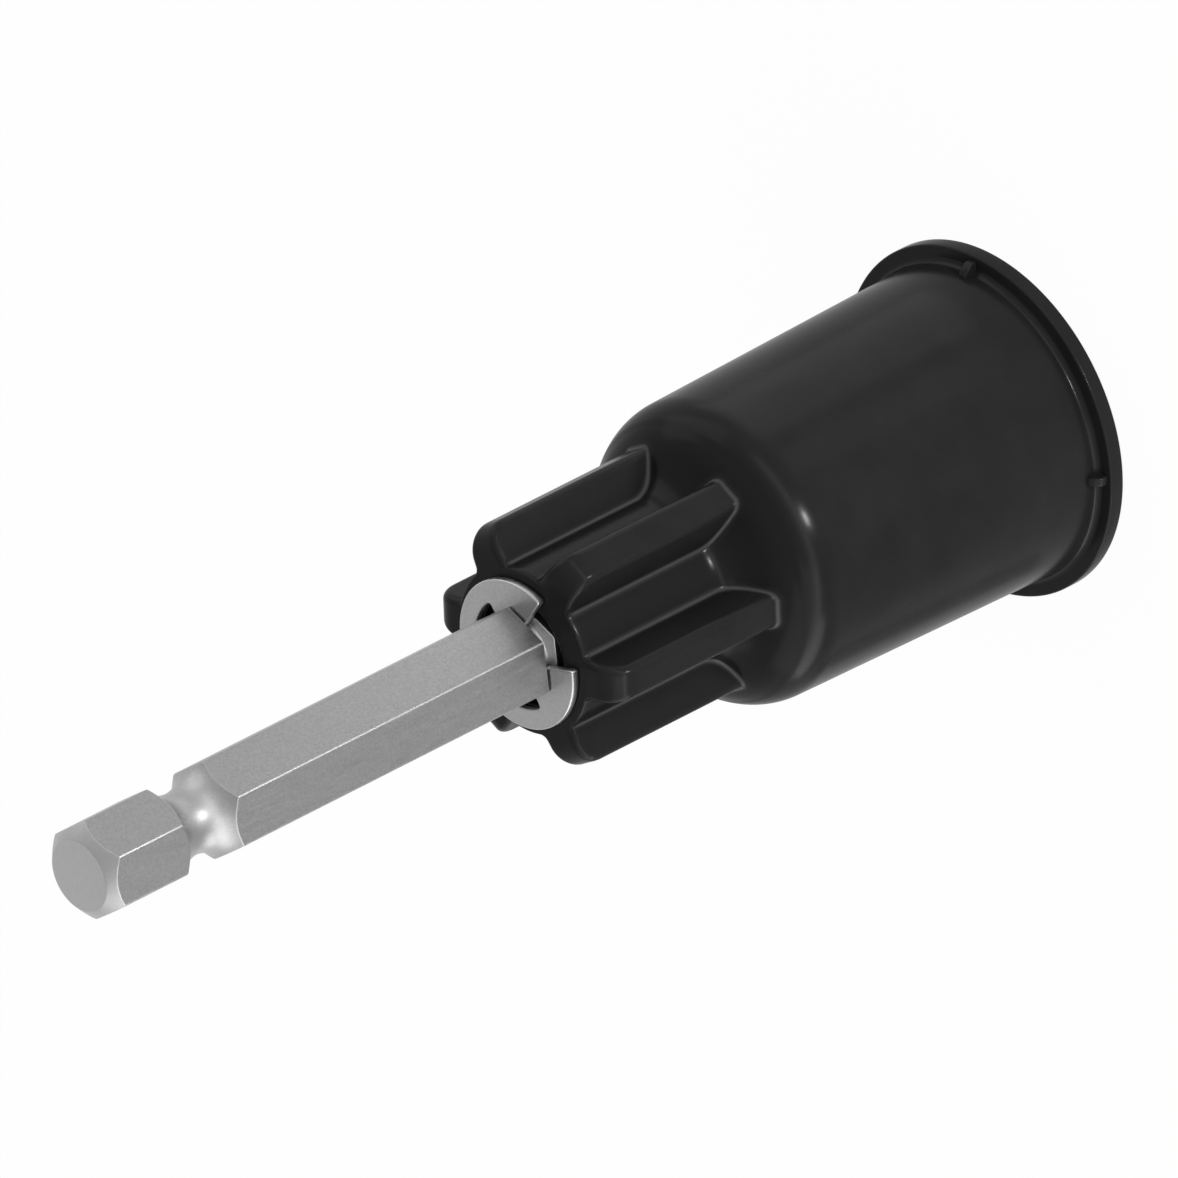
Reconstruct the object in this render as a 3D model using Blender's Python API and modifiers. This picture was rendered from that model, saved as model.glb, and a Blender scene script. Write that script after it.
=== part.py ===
"""Offset driver bit: a quarter-inch hex power bit that turns freely in a moulded stop cup.

Metres, +Z along the tool's axis with the shank up. The origin is the centre of the cup's rim face, and +X
runs through one of the nose ribs.
"""

import math

import bmesh
import bpy

# Driver bit, steel
HEX_FLATS = 0.00635
SHANK_REACH = 0.0412
END_FACE_DIAMETER = 0.0052
POWER_GROOVE_FROM_END = 0.0095
POWER_GROOVE_DIAMETER = 0.00458
POWER_GROOVE_ARC = 0.00315
TIP_RECESS = 0.003
TIP_LENGTH = 0.0165
TIP_DIAMETER = 0.006
TIP_BODY_LENGTH = 0.0088
TIP_POINT_DIAMETER = 0.0023
TIP_CONE_HALF_ANGLE = math.radians(26.5)
NECK_DIAMETER = 0.0048
NECK_SLOPE = math.radians(30)
FLUTE_ROOT_RADIUS = 0.00085
FLUTE_TAPER = math.radians(12)
FLUTE_COUNT = 4
REST_TURN = math.radians(35.6)

# Retaining clips, steel
CLIP_DIAMETER = 0.0109
CLIP_THICKNESS = 0.00063
CLIP_GROOVE_DIAMETER = 0.00478
CLIP_GRIP_CLEARANCE = 0.00015
CLIP_SIDE_CLEARANCE = 0.00015
CLIP_END_PLAY = 0.0002
CLIP_RELIEF_DIAMETER = 0.0079
CLIP_MOUTH_WIDTH = 0.00505
CLIP_MOUTH_FLARE = math.radians(20)
CLIP_RELIEF_START = math.radians(92)
CLIP_RELIEF_END = math.radians(150)
INNER_CLIP_TURN = math.radians(180)

# Stop cup, moulded plastic
CUP_HEIGHT = 0.04425
SHOULDER_HEIGHT = 0.0297
SHOULDER_ROUND = 0.0046
SKIRT_DIAMETER = 0.0231
SKIRT_DRAFT = math.radians(1.2)
WALL = 0.0015
RIM_LEDGE = 0.00125
RIM_THICKNESS = 0.0012
RIM_EDGE_ROUND = 0.0002
RIM_FILLET = 0.0005
BORE_CLEARANCE = 0.0002
NOSE_WALL = 0.00225
NOSE_FILLET = 0.0024
NOSE_EDGE_ROUND = 0.0002
RIB_COUNT = 6
RIB_HEIGHT = 0.00268
RIB_THICKNESS = 0.00244
RIB_DRAFT = math.radians(8.2)
RIB_CORNER = 0.00195
RIB_EDGE_ROUND = 0.00045
RIB_SETBACK = 0.0001
GUSSET_COUNT = 4
GUSSET_WIDTH = 0.00065
GUSSET_SETBACK = 0.00035
GUSSET_HEIGHT = 0.0011
GUSSET_OUTER_HEIGHT = 0.00045
GUSSET_LAND = 0.0002

# Facets
CUP_STEPS = 60
BIT_STEPS = 48
ARC_STEPS = 6
EDGE_STEPS = 3
CORNER_STEPS = 8
GROOVE_STEPS = 14
CLIP_STEPS = 12
BEVEL_STEPS = 2
TURN_WELD = 1e-5
PLATE_WELD = 1e-7
SMOOTH_ANGLE = math.radians(28)
FLAT_ANGLE = math.radians(0.1)
CUT_MARGIN = 0.0004

# Sizes that follow from those above
HEX_CORNER_RADIUS = HEX_FLATS / math.sqrt(3)
BORE_RADIUS = HEX_CORNER_RADIUS + BORE_CLEARANCE
NOSE_RADIUS = BORE_RADIUS + NOSE_WALL
RIB_RADIUS = NOSE_RADIUS + RIB_HEIGHT
SKIRT_RADIUS = SKIRT_DIAMETER / 2
RIM_RADIUS = SKIRT_RADIUS + RIM_LEDGE
FLOOR_HEIGHT = SHOULDER_HEIGHT - WALL
SHOULDER_Z = SHOULDER_HEIGHT - SHOULDER_ROUND
SHOULDER_R = SKIRT_RADIUS - SHOULDER_Z * math.tan(SKIRT_DRAFT) - SHOULDER_ROUND / math.cos(SKIRT_DRAFT)
OUTER_CLIP_Z = CUP_HEIGHT + CLIP_END_PLAY + CLIP_THICKNESS / 2
INNER_CLIP_Z = FLOOR_HEIGHT - CLIP_END_PLAY - CLIP_THICKNESS / 2
SHANK_END_Z = OUTER_CLIP_Z + SHANK_REACH


def clear_scene():
    for obj in list(bpy.data.objects):
        bpy.data.objects.remove(obj, do_unlink=True)


def new_collection(name):
    made = bpy.data.collections.new(name)
    bpy.context.scene.collection.children.link(made)
    return made


def new_material(name, colour, roughness, metallic):
    made = bpy.data.materials.new(name)
    made.use_nodes = True
    shader = made.node_tree.nodes["Principled BSDF"]
    shader.inputs["Base Color"].default_value = (*colour, 1.0)
    shader.inputs["Roughness"].default_value = roughness
    shader.inputs["Metallic"].default_value = metallic
    return made


def arc(centre, radius, start, end, steps=ARC_STEPS):
    """Points along a circular arc, both ends included, as (across, up) pairs."""
    angles = [start + (end - start) * i / steps for i in range(steps + 1)]
    return [(centre[0] + radius * math.cos(a), centre[1] + radius * math.sin(a)) for a in angles]


def mesh_object(name, mesh, collection):
    made = bpy.data.objects.new(name, mesh)
    collection.objects.link(made)
    return made


def turned(name, profile, steps, collection, closed=False):
    """A profile of (radius, height) points swept round Z. It runs down the outer side, top to bottom."""
    points = [(r, 0.0, z) for r, z in profile]
    edges = [(i, i + 1) for i in range(len(points) - 1)]
    if closed:
        edges.append((len(points) - 1, 0))
    mesh = bpy.data.meshes.new(name)
    mesh.from_pydata(points, edges, [])
    made = mesh_object(name, mesh, collection)
    screw = made.modifiers.new("Turn", "SCREW")
    screw.axis = "Z"
    screw.steps = steps
    screw.render_steps = steps
    screw.use_merge_vertices = True
    screw.merge_threshold = TURN_WELD
    return made


def plate(name, outline, thickness, collection):
    """A flat outline in XY, thickened evenly to both sides, as a mesh with one welded face for each cap."""
    curve = bpy.data.curves.new(name, "CURVE")
    curve.dimensions = "2D"
    curve.fill_mode = "BOTH"
    curve.extrude = thickness / 2
    spline = curve.splines.new("POLY")
    spline.points.add(len(outline) - 1)
    for point, (x, y) in zip(spline.points, outline):
        point.co = (x, y, 0.0, 1.0)
    spline.use_cyclic_u = True
    drawn = mesh_object(name + "_outline", curve, collection)
    graph = bpy.context.evaluated_depsgraph_get()
    mesh = bpy.data.meshes.new_from_object(drawn.evaluated_get(graph))
    bpy.data.objects.remove(drawn, do_unlink=True)
    shape = bmesh.new()
    shape.from_mesh(mesh)
    bmesh.ops.remove_doubles(shape, verts=shape.verts, dist=PLATE_WELD)
    inner = [edge for edge in shape.edges if edge.calc_face_angle(0.0) < FLAT_ANGLE]
    bmesh.ops.dissolve_edges(shape, edges=inner)
    bmesh.ops.recalc_face_normals(shape, faces=shape.faces)
    shape.to_mesh(mesh)
    shape.free()
    mesh.name = name
    return mesh_object(name, mesh, collection)


def upright_plate(name, outline, thickness, turn, collection):
    """A plate of (radius, height) points that stands in the plane through Z at the angle turn."""
    made = plate(name, outline, thickness, collection)
    made.rotation_euler = (math.radians(90), 0.0, turn)
    return made


def as_cutter(obj):
    obj.hide_render = True
    obj.display_type = "WIRE"
    return obj


def combine(obj, other, operation, solver="EXACT"):
    modifier = obj.modifiers.new(f"{operation.title()} {other.name}", "BOOLEAN")
    modifier.operation = operation
    modifier.solver = solver
    modifier.object = other


def finish(obj, material):
    """Applies the modifiers, shades round faces smooth and keeps real edges sharp."""
    bpy.context.view_layer.update()
    graph = bpy.context.evaluated_depsgraph_get()
    mesh = bpy.data.meshes.new_from_object(obj.evaluated_get(graph))
    mesh.name = obj.name
    mesh.materials.clear()
    mesh.materials.append(material)
    mesh.shade_smooth()
    mesh.set_sharp_from_angle(angle=SMOOTH_ANGLE)
    obj.modifiers.clear()
    obj.data = mesh


def cup_profile():
    """Closed outline of the cup's wall: down the outside from the nose, across the rim, up the inside."""
    slope = math.tan(SKIRT_DRAFT)
    inset = WALL / math.cos(SKIRT_DRAFT)
    shoulder = (SHOULDER_R, SHOULDER_Z)

    nose_edge = (NOSE_RADIUS - NOSE_EDGE_ROUND, CUP_HEIGHT - NOSE_EDGE_ROUND)
    outside = [(BORE_RADIUS, CUP_HEIGHT)]
    outside += arc(nose_edge, NOSE_EDGE_ROUND, math.radians(90), 0.0, EDGE_STEPS)

    # The nose fillet rolls between the nose and the shoulder round, or the flat that is left inside it.
    fillet_r = NOSE_RADIUS + NOSE_FILLET
    across = max(fillet_r - SHOULDER_R, 0.0)
    rise = math.sqrt((SHOULDER_ROUND + NOSE_FILLET) ** 2 - across**2)
    touch = math.atan2(rise, across)
    outside += arc((fillet_r, SHOULDER_Z + rise), NOSE_FILLET, math.radians(180), math.radians(180) + touch)
    round_points = arc(shoulder, SHOULDER_ROUND, touch, SKIRT_DRAFT, 2 * ARC_STEPS)
    outside += round_points[1:] if across else round_points

    foot_z = RIM_THICKNESS + RIM_FILLET
    foot_r = SKIRT_RADIUS - foot_z * slope + RIM_FILLET / math.cos(SKIRT_DRAFT)
    outside += arc((foot_r, foot_z), RIM_FILLET, math.radians(180) + SKIRT_DRAFT, math.radians(270))
    edge_r = RIM_RADIUS - RIM_EDGE_ROUND
    edge_top = (edge_r, RIM_THICKNESS - RIM_EDGE_ROUND)
    outside += arc(edge_top, RIM_EDGE_ROUND, math.radians(90), 0.0, EDGE_STEPS)
    outside += arc((edge_r, RIM_EDGE_ROUND), RIM_EDGE_ROUND, 0.0, math.radians(-90), EDGE_STEPS)

    mouth_r = SKIRT_RADIUS - inset
    lip = (mouth_r + RIM_EDGE_ROUND, RIM_EDGE_ROUND)
    inside = arc(lip, RIM_EDGE_ROUND, math.radians(270), math.radians(180), EDGE_STEPS)
    inside += arc(shoulder, SHOULDER_ROUND - WALL, SKIRT_DRAFT, math.radians(90))
    inside.append((BORE_RADIUS, FLOOR_HEIGHT))
    return outside + inside


def rib_outline():
    """One nose rib in its own plane: its foot follows the middle of the shoulder's wall."""
    inner_r = BORE_RADIUS + NOSE_WALL / 2
    middle = SHOULDER_ROUND - WALL / 2
    past_shoulder = max(RIB_RADIUS - SHOULDER_R, 0.0)
    foot_end = math.acos(min(past_shoulder / middle, 1.0))
    front_z = CUP_HEIGHT - RIB_SETBACK
    corner = (RIB_RADIUS - RIB_CORNER, front_z - RIB_CORNER)
    outline = [(inner_r, SHOULDER_Z + middle)]
    outline += arc((SHOULDER_R, SHOULDER_Z), middle, math.radians(90), foot_end)
    outline += arc(corner, RIB_CORNER, 0.0, math.radians(90), CORNER_STEPS)
    outline.append((inner_r, front_z))
    return outline


def make_rib(index, cutters):
    """A rib that is RIB_THICKNESS wide along its outer edge and widens towards the nose at its draft."""
    turn = 2 * math.pi * index / RIB_COUNT
    rib = upright_plate(f"rib_{index + 1}", rib_outline(), RIB_THICKNESS, turn, cutters)
    for vert in rib.data.vertices:
        half = RIB_THICKNESS / 2 + (RIB_RADIUS - vert.co.x) * math.tan(RIB_DRAFT)
        vert.co.z = math.copysign(half, vert.co.z)
    bevel = rib.modifiers.new("Edges", "BEVEL")
    bevel.width = RIB_EDGE_ROUND
    bevel.segments = BEVEL_STEPS
    bevel.limit_method = "ANGLE"
    return rib


def gusset_outline():
    """One small web in the corner between the skirt and the rim, sloping down to a low outer end."""
    root_z = RIM_THICKNESS / 2
    top_z = RIM_THICKNESS + GUSSET_HEIGHT
    skirt_r = SKIRT_RADIUS - top_z * math.tan(SKIRT_DRAFT)
    inner_r = skirt_r - WALL / 2
    outer_r = RIM_RADIUS - GUSSET_SETBACK
    return [
        (inner_r, root_z),
        (outer_r, root_z),
        (outer_r, RIM_THICKNESS + GUSSET_OUTER_HEIGHT),
        (skirt_r + GUSSET_LAND, top_z),
        (inner_r, top_z),
    ]


def make_cup(parts, cutters, material):
    cup = turned("stop_cup", cup_profile(), CUP_STEPS, parts, closed=True)
    added = [make_rib(i, cutters) for i in range(RIB_COUNT)]
    for i in range(GUSSET_COUNT):
        turn = 2 * math.pi * i / GUSSET_COUNT
        added.append(upright_plate(f"gusset_{i + 1}", gusset_outline(), GUSSET_WIDTH, turn, cutters))
    for piece in added:
        combine(cup, as_cutter(piece), "UNION", "MANIFOLD")
    finish(cup, material)


def clip_groove(centre_z, envelope):
    """A square groove, as profile points from its upper edge to its lower edge."""
    half = CLIP_THICKNESS / 2 + CLIP_SIDE_CLEARANCE
    floor = CLIP_GROOVE_DIAMETER / 2
    return [
        (envelope, centre_z + half),
        (floor, centre_z + half),
        (floor, centre_z - half),
        (envelope, centre_z - half),
    ]


def bit_profile():
    """The turned envelope of the bit, from the shank's end face down to the point of the tip."""
    envelope = HEX_CORNER_RADIUS + CUT_MARGIN
    end_r = END_FACE_DIAMETER / 2
    profile = [(0.0, SHANK_END_Z), (end_r, SHANK_END_Z), (envelope, SHANK_END_Z - (envelope - end_r))]

    groove = (POWER_GROOVE_DIAMETER / 2 + POWER_GROOVE_ARC, SHANK_END_Z - POWER_GROOVE_FROM_END)
    half_angle = math.acos((groove[0] - envelope) / POWER_GROOVE_ARC)
    straight_in = math.radians(180)
    profile += arc(groove, POWER_GROOVE_ARC, straight_in - half_angle, straight_in + half_angle, GROOVE_STEPS)

    profile += clip_groove(OUTER_CLIP_Z, envelope)
    profile += clip_groove(INNER_CLIP_Z, envelope)

    neck_r = NECK_DIAMETER / 2
    tip_r = TIP_DIAMETER / 2
    point_r = TIP_POINT_DIAMETER / 2
    hex_end_z = TIP_RECESS + TIP_LENGTH
    body_z = TIP_RECESS + TIP_BODY_LENGTH
    cone_z = TIP_RECESS + (tip_r - point_r) / math.tan(TIP_CONE_HALF_ANGLE)
    profile += [
        (envelope, hex_end_z),
        (neck_r, hex_end_z - (envelope - neck_r) / math.tan(NECK_SLOPE)),
        (neck_r, body_z + (tip_r - neck_r) / math.tan(NECK_SLOPE)),
        (tip_r, body_z),
        (tip_r, cone_z),
        (point_r, TIP_RECESS),
        (0.0, TIP_RECESS),
    ]
    return profile


def hex_bar(cutters):
    """The rolled hex bar that the bit is turned from, with a corner on +X."""
    bar = bmesh.new()
    length = SHANK_END_Z + TIP_RECESS
    bmesh.ops.create_cone(
        bar,
        cap_ends=True,
        segments=6,
        radius1=HEX_CORNER_RADIUS,
        radius2=HEX_CORNER_RADIUS,
        depth=length,
    )
    corner = max(bar.verts, key=lambda vert: vert.co.x)
    turn = -math.atan2(corner.co.y, corner.co.x)
    mesh = bpy.data.meshes.new("hex_bar")
    bar.to_mesh(mesh)
    bar.free()
    made = mesh_object("hex_bar", mesh, cutters)
    made.location.z = length / 2
    made.rotation_euler.z = turn
    return as_cutter(made)


def flute(index, cutters):
    """A square bar on edge. Its edge runs along the root of one flute and leans out as it rises."""
    side = TIP_DIAMETER
    length = 2 * TIP_LENGTH
    shape = bmesh.new()
    bmesh.ops.create_cube(shape, size=1.0)
    for vert in shape.verts:
        x = (vert.co.x + 0.5) * side
        y = (vert.co.y + 0.5) * side
        vert.co = ((x + y) / math.sqrt(2), (y - x) / math.sqrt(2), vert.co.z * length)
    mesh = bpy.data.meshes.new(f"flute_{index + 1}")
    shape.to_mesh(mesh)
    shape.free()
    made = mesh_object(mesh.name, mesh, cutters)
    turn = 2 * math.pi * (index + 0.5) / FLUTE_COUNT
    made.rotation_euler = (0.0, FLUTE_TAPER, turn)
    made.location = (FLUTE_ROOT_RADIUS * math.cos(turn), FLUTE_ROOT_RADIUS * math.sin(turn), TIP_RECESS)
    return as_cutter(made)


def make_bit(parts, cutters, spin, material):
    bit = turned("driver_bit", bit_profile(), BIT_STEPS, parts)
    bit.parent = spin
    bar = hex_bar(cutters)
    bar.parent = spin
    combine(bit, bar, "INTERSECT")
    for i in range(FLUTE_COUNT):
        cut = flute(i, cutters)
        cut.parent = spin
        combine(bit, cut, "DIFFERENCE")
    finish(bit, material)


def clip_outline():
    """An E-clip that opens towards +X: round outside, three gripping prongs and two reliefs inside."""
    outer = CLIP_DIAMETER / 2
    grip = CLIP_GROOVE_DIAMETER / 2 + CLIP_GRIP_CLEARANCE
    relief = CLIP_RELIEF_DIAMETER / 2
    mouth_angle = math.asin(CLIP_MOUTH_WIDTH / 2 / outer)

    # The flared side of the mouth, followed inwards until it meets the gripping circle.
    mouth_x = outer * math.cos(mouth_angle)
    line_x = mouth_x - CLIP_MOUTH_WIDTH / 2 / math.tan(CLIP_MOUTH_FLARE)
    inner_angle = CLIP_MOUTH_FLARE + math.asin(-line_x * math.sin(CLIP_MOUTH_FLARE) / grip)

    half = arc((0.0, 0.0), outer, math.radians(180), mouth_angle, 2 * CLIP_STEPS)
    half += arc((0.0, 0.0), grip, inner_angle, CLIP_RELIEF_START, CLIP_STEPS // 2)
    half += arc((0.0, 0.0), relief, CLIP_RELIEF_START, CLIP_RELIEF_END, CLIP_STEPS // 2)
    half += arc((0.0, 0.0), grip, CLIP_RELIEF_END, math.radians(180), CLIP_STEPS // 4)
    mirrored = [(x, -y) for x, y in reversed(half[1:-1])]
    return half + mirrored


def make_clip(name, height, turn, parts, spin, material):
    clip = plate(name, clip_outline(), CLIP_THICKNESS, parts)
    clip.parent = spin
    clip.location.z = height
    clip.rotation_euler.z = turn
    finish(clip, material)


def main():
    clear_scene()
    parts = new_collection("offset_driver_bit")
    cutters = new_collection("cutters")
    plastic = new_material("black_plastic", (0.012, 0.012, 0.013), 0.36, 0.0)
    steel = new_material("bit_steel", (0.46, 0.46, 0.47), 0.34, 1.0)
    spring_steel = new_material("clip_steel", (0.52, 0.52, 0.53), 0.3, 1.0)

    spin = bpy.data.objects.new("bit_spin", None)
    spin.rotation_euler.z = REST_TURN
    parts.objects.link(spin)

    make_cup(parts, cutters, plastic)
    make_bit(parts, cutters, spin, steel)
    make_clip("outer_clip", OUTER_CLIP_Z, 0.0, parts, spin, spring_steel)
    make_clip("inner_clip", INNER_CLIP_Z, INNER_CLIP_TURN, parts, spin, spring_steel)


main()
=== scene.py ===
"""Looks of the offset driver bit: a moulded black stop cup, a satin steel power bit and two spring clips.

Sizes are in millimetres and angles in degrees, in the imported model's frame. Blender gets them in metres.
"""

import math

import bmesh
import bpy
import numpy as np
from mathutils import Matrix, Vector


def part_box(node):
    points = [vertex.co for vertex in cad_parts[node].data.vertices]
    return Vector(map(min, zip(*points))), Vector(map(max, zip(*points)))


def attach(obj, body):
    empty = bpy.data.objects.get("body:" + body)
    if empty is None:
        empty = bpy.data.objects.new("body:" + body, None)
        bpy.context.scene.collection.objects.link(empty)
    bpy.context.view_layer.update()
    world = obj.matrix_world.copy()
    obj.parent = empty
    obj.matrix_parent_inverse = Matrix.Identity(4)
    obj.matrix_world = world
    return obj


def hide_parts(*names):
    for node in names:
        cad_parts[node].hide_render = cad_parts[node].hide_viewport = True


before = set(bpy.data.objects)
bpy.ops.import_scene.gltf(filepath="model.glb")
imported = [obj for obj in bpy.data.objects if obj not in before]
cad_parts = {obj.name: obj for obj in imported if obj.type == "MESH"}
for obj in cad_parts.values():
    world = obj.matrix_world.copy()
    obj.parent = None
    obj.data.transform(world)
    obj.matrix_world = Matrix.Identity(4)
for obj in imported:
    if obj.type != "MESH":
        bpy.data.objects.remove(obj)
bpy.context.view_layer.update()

MM = 0.001

# Sizes that the frame gives
CUP_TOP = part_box("stop_cup")[1] / MM
BIT_BOTTOM, BIT_TOP = (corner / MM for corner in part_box("driver_bit"))
OUTER_CLIP = [corner.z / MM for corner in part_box("outer_clip")]
INNER_CLIP = [corner.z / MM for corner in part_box("inner_clip")]
RIM_RADIUS = CUP_TOP.x
CUP_HEIGHT = CUP_TOP.z
SHANK_END = BIT_TOP.z
TIP_POINT = BIT_BOTTOM.z

# Stop cup, with its nose drawn forward along the bar until it lies close behind the outer clip
NOSE_LEAD = 0.15
NOSE_FRONT = CUP_HEIGHT + NOSE_LEAD
NOSE_RADIUS = 6.12
NOSE_EDGE = 0.16
NOSE_FILLET = 2.4
SKIRT_RADIUS = 11.55
SKIRT_DRAFT = 1.2
SHOULDER_HEIGHT = 29.7
SHOULDER_ROUND = 4.6
RIBBED_RADIUS = SKIRT_RADIUS - SHOULDER_ROUND / 3
WALL = 1.5
BORE_RADIUS = 3.87
RIM_THICKNESS = 1.2
RIM_EDGE = 0.16
RIM_FILLET = 0.5
RIB_COUNT = 6
RIB_RADIUS = 8.8
RIB_HALF = 1.22
RIB_DRAFT = 8.2
RIB_CORNER = 1.95
RIB_EDGE = 0.5
RIB_FILLET = 0.28
GUSSET_COUNT = 4
GUSSET_WIDTH = 0.65
GUSSET_SETBACK = 0.4
GUSSET_HEIGHT = 1.05
GUSSET_OUTER_HEIGHT = 0.45
GUSSET_LAND = 0.25
GUSSET_EDGE = 0.1

# Driver bit
REST_TURN = 35.6
HEX_SIDES = 6
HEX_FLATS = 6.35
HEX_ROUND = 0.28
CREASE = 0.07
END_FACE_RADIUS = 2.6
END_CAP_RADIUS = 0.65
POWER_GROOVE_FROM_END = 9.5
POWER_GROOVE_RADIUS = 2.29
POWER_GROOVE_ARC = 3.15
CLIP_GROOVE_RADIUS = 2.39
CLIP_GROOVE_PLAY = 0.15
HEX_END = 17.96
NECK_RADIUS = 2.4
NECK_SLOPE = 30.0
TIP_RADIUS = 3.0
TIP_BODY = 11.8
TIP_POINT_RADIUS = 1.15
TIP_HALF_ANGLE = 26.5
FLUTE_ROOT = 0.85
FLUTE_TAPER = 12.0
FLUTE_COUNT = 4
FLUTE_FLOOR = 0.05

# Spring clips
CLIP_RADIUS = 5.45
CLIP_GRIP = 2.54
CLIP_RELIEF = 3.95
CLIP_MOUTH = 5.05
CLIP_MOUTH_FLARE = 20.0
CLIP_RELIEF_SPAN = (92.0, 150.0)
CLIP_EDGE = 0.14
CLIP_CORNER = 0.25
CLIP_STEP = 0.08
BACK_CLIP_TURN = 180.0

# Steps, points and rings of the meshes
NORMAL_WEIGHT = 100
BEVEL_STEPS = 4
ROUND_PROFILE = 0.5
SETTLE_ROUNDS = 12
SETTLE_STEP = 1e-4
LEAST_SLOPE = 0.05
RIB_TOP_POINTS = 4
RIB_EDGE_STEPS = 5
RIB_SIDE_POINTS = 14
RIB_FILLET_STEPS = 6
VALLEY_STEPS = 7
FRONT_RINGS = 15
SIDE_RINGS = 39
SIDE_RING_PLACES = ((0.0, 0.26, 0.42, 1.0), (0.0, 0.16, 0.82, 1.0))
SHOULDER_RINGS = 23
RING_CROWDING = 1.5
SHOULDER_STEPS = 12
FILLET_STEPS = 8
EDGE_STEPS = 5
WALL_POINTS = 9
FACE_POINTS = 4
CREASE_STEPS = 4
CREASE_SHARE = 1 / 3
HEX_CORNER_STEPS = 6
HEX_FLAT_POINTS = 27
GROOVE_STEPS = 24
NECK_RINGS = 8
TIP_RINGS = 90
CLIP_RIM_STEPS = 90
CLIP_PRONG_STEPS = 20
CLIP_RELIEF_STEPS = 40
CLIP_BACK_STEPS = 12

# The photograph's view: a very long lens, the tool's axis running down to the left
LENS_MM = 1690.0
SENSOR_MM = 36.0
CAMERA_DISTANCE = 3723.6
CAMERA_AZIMUTH = 37.37
CAMERA_ELEVATION = 36.94
AXIS_SLOPE = 26.815
AIM_HEIGHT = 43.0
AIM_RIGHT = 3.457
AIM_UP = 3.694
CAMERA_RANGE = (100.0, 100000.0)

# Materials: linear greys, roughness ranges, noise as (feature, detail) and bump as (depth, strength)
NOISE_MIDDLE = (0.3, 0.7)
PLASTIC_GREYS = (0.0097, 0.0124)
PLASTIC_ROUGHNESS = (0.22, 0.28)
PLASTIC_CLOUDS = (3.5, 3.0)
PLASTIC_GRAIN = (0.11, 3.0)
PLASTIC_BUMP = (0.02, 0.08)
PLASTIC_IOR = 1.05
PLASTIC_SKIN = 0.19
PLASTIC_SKIN_ROUGHNESS = 0.21
# Painted highlight along the ribs' root fillets: its grey and sharpness
ROOT_HIGHLIGHT_GREY = 0.042
ROOT_HIGHLIGHT_SHARPNESS = 3
# Painted shade in the recesses between the ribs: its grey, sharpness and fade at the shoulder
RECESS_SHADE_GREY = 0.0072
RECESS_SHADE_SHARPNESS = 2
RECESS_SHADE_FADE = 0.5
STEEL_GRAIN = (0.19, 4.0)
STEEL_DRAW = (0.3, 3.0)
STEEL_DRAW_STRETCH = (1.0, 1.0, 0.15)
STEEL_BUMP = (0.01, 0.15)
CLIP_GREYS = (0.39, 0.46)
CLIP_ROUGHNESS = (0.34, 0.4)
BIT_GREYS = (0.268, 0.33)
BIT_ROUGHNESS = (0.38, 0.46)

# Turned steel and painted light on the bit: greys, and how far a surface leans towards the bar's axis to
# count as turned. The clip grooves are lightened by painted light where they lie in shade, and the power
# groove's lighter grey is partly its turned finish and partly a painted highlight.
TURNED_GRAIN = (0.1, 3.0)
CLIP_GROOVE_PAINTED_LIGHT_GREYS = (0.7, 0.78)
POWER_GROOVE_FINISH_AND_HIGHLIGHT_GREYS = (0.33, 0.39)
POWER_GROOVE_LEAN = 0.3
CHAMFER_GREYS = (0.38, 0.44)
CHAMFER_LEAN = 0.4
END_GREYS = (0.47, 0.53)
END_LEAN = 0.9
END_DEPTH = 1.2

# Studio
SKY_HORIZON = 0.95
SKY_ZENITH = 0.6
SKY_GLOW = 3.5
SKY_GLOW_TOP = 0.22
SKY_GLOW_SIDES = (-0.05, 0.3)
FLOOR_GREY = 0.9
FLOOR_WHITE = 0.96
FLOOR_HALF = 6000.0
FLOOR_GAP = 0.1

# Soft boxes that face the tool: azimuth, distance, height, (width, height) and radiance
LAMPS = {
    "spot": (32.3, 131.0, 7.6, (14.0, 8.0), 200.0),
    "right_box": (-40.0, 450.0, 190.0, (800.0, 380.0), 1.0),
    "right_strip": (-57.0, 150.0, 14.0, (130.0, 28.0), 3.9),
    "left_box": (130.0, 300.0, 90.0, (260.0, 180.0), 0.9),
}

# Cards on the floor, for the tool's sides to reflect: strength and corners
CARDS = {
    "right_card": (0.68, ((24.0, -215.0), (242.0, -215.0), (242.0, 5.0), (24.0, 5.0))),
    "dark_card": (0.5, ((12.2, -12.0), (22.3, -62.7), (0.2, -65.0), (8.3, -13.5))),
    "left_card": (1.7, ((3.6, 18.0), (-3.0, 85.0), (-64.0, 51.0), (-7.5, 15.5))),
    "back_card": (1.4, ((12.4, 17.1), (29.9, 47.4), (11.4, 54.3), (6.9, 19.6))),
}


def arc(centre, radius, start, end, steps):
    """Points along a circular arc between two angles in degrees, both ends included."""
    angles = np.radians(np.linspace(start, end, steps + 1))
    return [(centre[0] + radius * math.cos(a), centre[1] + radius * math.sin(a)) for a in angles]


def polar(radius, angle):
    """The point at a radius and an angle in degrees."""
    return radius * math.cos(math.radians(angle)), radius * math.sin(math.radians(angle))


def tan_deg(angle):
    """Tangent of an angle in degrees."""
    return math.tan(math.radians(angle))


def add_object(name, mesh, body, material):
    """Links a finished mesh as a piece that rides on a body of the frame."""
    piece = bpy.data.objects.new(name, mesh)
    bpy.context.scene.collection.objects.link(piece)
    mesh.materials.append(material)
    mesh.shade_smooth()
    weighted = piece.modifiers.new("Weighted normals", "WEIGHTED_NORMAL")
    weighted.weight = NORMAL_WEIGHT
    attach(piece, body)
    return piece


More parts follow.
